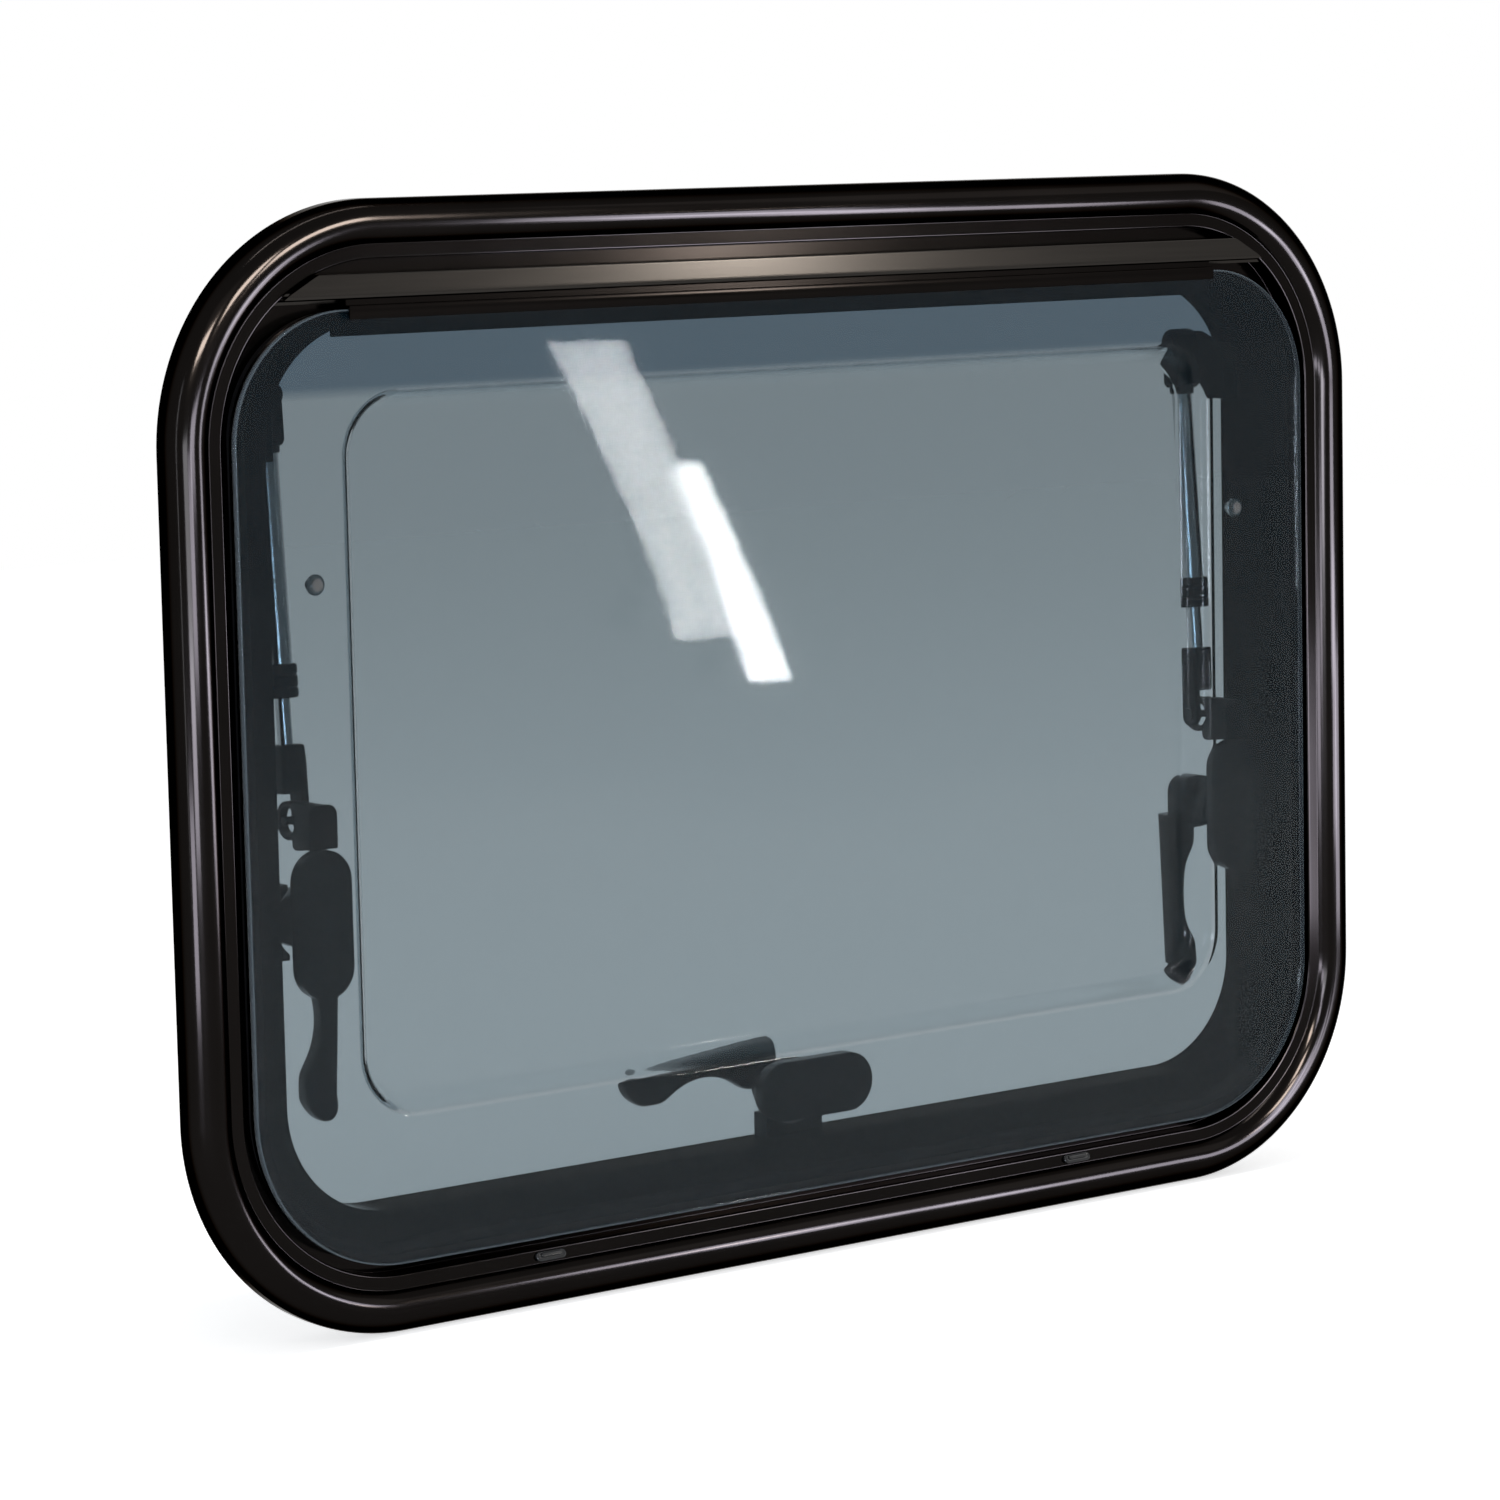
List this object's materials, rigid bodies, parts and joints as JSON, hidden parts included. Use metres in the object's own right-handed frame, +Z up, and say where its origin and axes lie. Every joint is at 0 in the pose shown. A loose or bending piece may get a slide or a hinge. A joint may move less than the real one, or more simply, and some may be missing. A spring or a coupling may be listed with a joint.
{
  "type": "caravan window",
  "caption": "Top-hung caravan window with a black aluminium frame, a tinted double acrylic sash, turning latches and telescopic stays.",
  "frame": {"origin": "middle of the bottom member's flange, on its back face against the wall", "axes": "+X right and +Z up as seen from outside, +Y through the wall into the vehicle"},
  "size_m": [0.738, 0.0595, 0.538],
  "materials": {
    "frame_aluminium": "glossy black-brown anodised",
    "hinge_aluminium": "satin dark grey-brown anodised",
    "seal_rubber": "matt black EPDM",
    "fitting_nylon": "fine-grained black nylon",
    "latch_plastic": "glossy black moulding",
    "acrylic_outer": "clear grey-tinted acrylic",
    "acrylic_inner": "clear acrylic with a drawn step",
    "stay_steel": "bright drawn metal"
  },
  "bodies": {
    "frame": {"outer_frame": "frame_aluminium", "flange_tape": "seal_rubber", "sash_seal": "seal_rubber", "hinge_rail": "hinge_aluminium", "drain_cap_left": "fitting_nylon", "drain_cap_right": "fitting_nylon", "stay_bracket_left": "fitting_nylon", "stay_bracket_right": "fitting_nylon", "keeper_left": "fitting_nylon", "keeper_right": "fitting_nylon", "keeper_bottom": "fitting_nylon"},
    "sash": {"outer_pane": "acrylic_outer", "inner_pane": "acrylic_inner", "sash_rail": "frame_aluminium", "breather_plug_left": "fitting_nylon", "breather_plug_right": "fitting_nylon", "latch_base_left": "latch_plastic", "latch_base_right": "latch_plastic", "latch_base_bottom": "latch_plastic", "pivot_screw_left": "stay_steel", "pivot_screw_right": "stay_steel", "pivot_screw_bottom": "stay_steel", "stay_lug_left": "fitting_nylon", "stay_lug_right": "fitting_nylon"},
    "latch_left": {"latch_handle_left": "latch_plastic"},
    "latch_right": {"latch_handle_right": "latch_plastic"},
    "latch_bottom": {"latch_handle_bottom": "latch_plastic"},
    "stay_left": {"stay_top_end_left": "fitting_nylon", "stay_tube_left": "stay_steel", "stay_collar_left": "fitting_nylon"},
    "stay_right": {"stay_top_end_right": "fitting_nylon", "stay_tube_right": "stay_steel", "stay_collar_right": "fitting_nylon"},
    "stay_rod_left": {"stay_rod_left": "stay_steel", "stay_foot_left": "fitting_nylon"},
    "stay_rod_right": {"stay_rod_right": "stay_steel", "stay_foot_right": "fitting_nylon"}
  },
  "joints": [
    {"name": "sash_hinge", "type": "hinge", "parent": "frame", "child": "sash", "pos_m": [0, -0.0112, 0.4842], "axis": [-1, 0, 0], "range_deg": [0, 45]},
    {"name": "latch_left_turn", "type": "hinge", "parent": "sash", "child": "latch_left", "pos_m": [-0.286, -0.0085, 0.1905], "axis": [0, -1, 0], "range_deg": [0, 90]},
    {"name": "latch_right_turn", "type": "hinge", "parent": "sash", "child": "latch_right", "pos_m": [0.286, -0.0085, 0.1905], "axis": [0, 1, 0], "range_deg": [0, 90]},
    {"name": "latch_bottom_turn", "type": "hinge", "parent": "sash", "child": "latch_bottom", "pos_m": [0, -0.0085, 0.0735], "axis": [0, 1, 0], "range_deg": [0, 90]},
    {"name": "stay_left_swing", "type": "hinge", "parent": "frame", "child": "stay_left", "pos_m": [-0.291, 0.034, 0.4375], "axis": [-1, 0, 0], "range_deg": [0, 49.8]},
    {"name": "stay_left_slide", "type": "slide", "parent": "stay_left", "child": "stay_rod_left", "axis": [0, -0.0698, -0.9976], "range_m": [0, 0.0465]},
    {"name": "stay_right_swing", "type": "hinge", "parent": "frame", "child": "stay_right", "pos_m": [0.291, 0.034, 0.4375], "axis": [-1, 0, 0], "range_deg": [0, 49.8]},
    {"name": "stay_right_slide", "type": "slide", "parent": "stay_right", "child": "stay_rod_right", "axis": [0, -0.0698, -0.9976], "range_m": [0, 0.0465]}
  ],
  "couplings": [
    {"joint": "stay_left_swing", "follows": "sash_hinge", "ratio": 1.105},
    {"joint": "stay_left_slide", "follows": "sash_hinge", "m_per_rad": 0.059},
    {"joint": "stay_right_swing", "follows": "sash_hinge", "ratio": 1.105},
    {"joint": "stay_right_slide", "follows": "sash_hinge", "m_per_rad": 0.059}
  ]
}
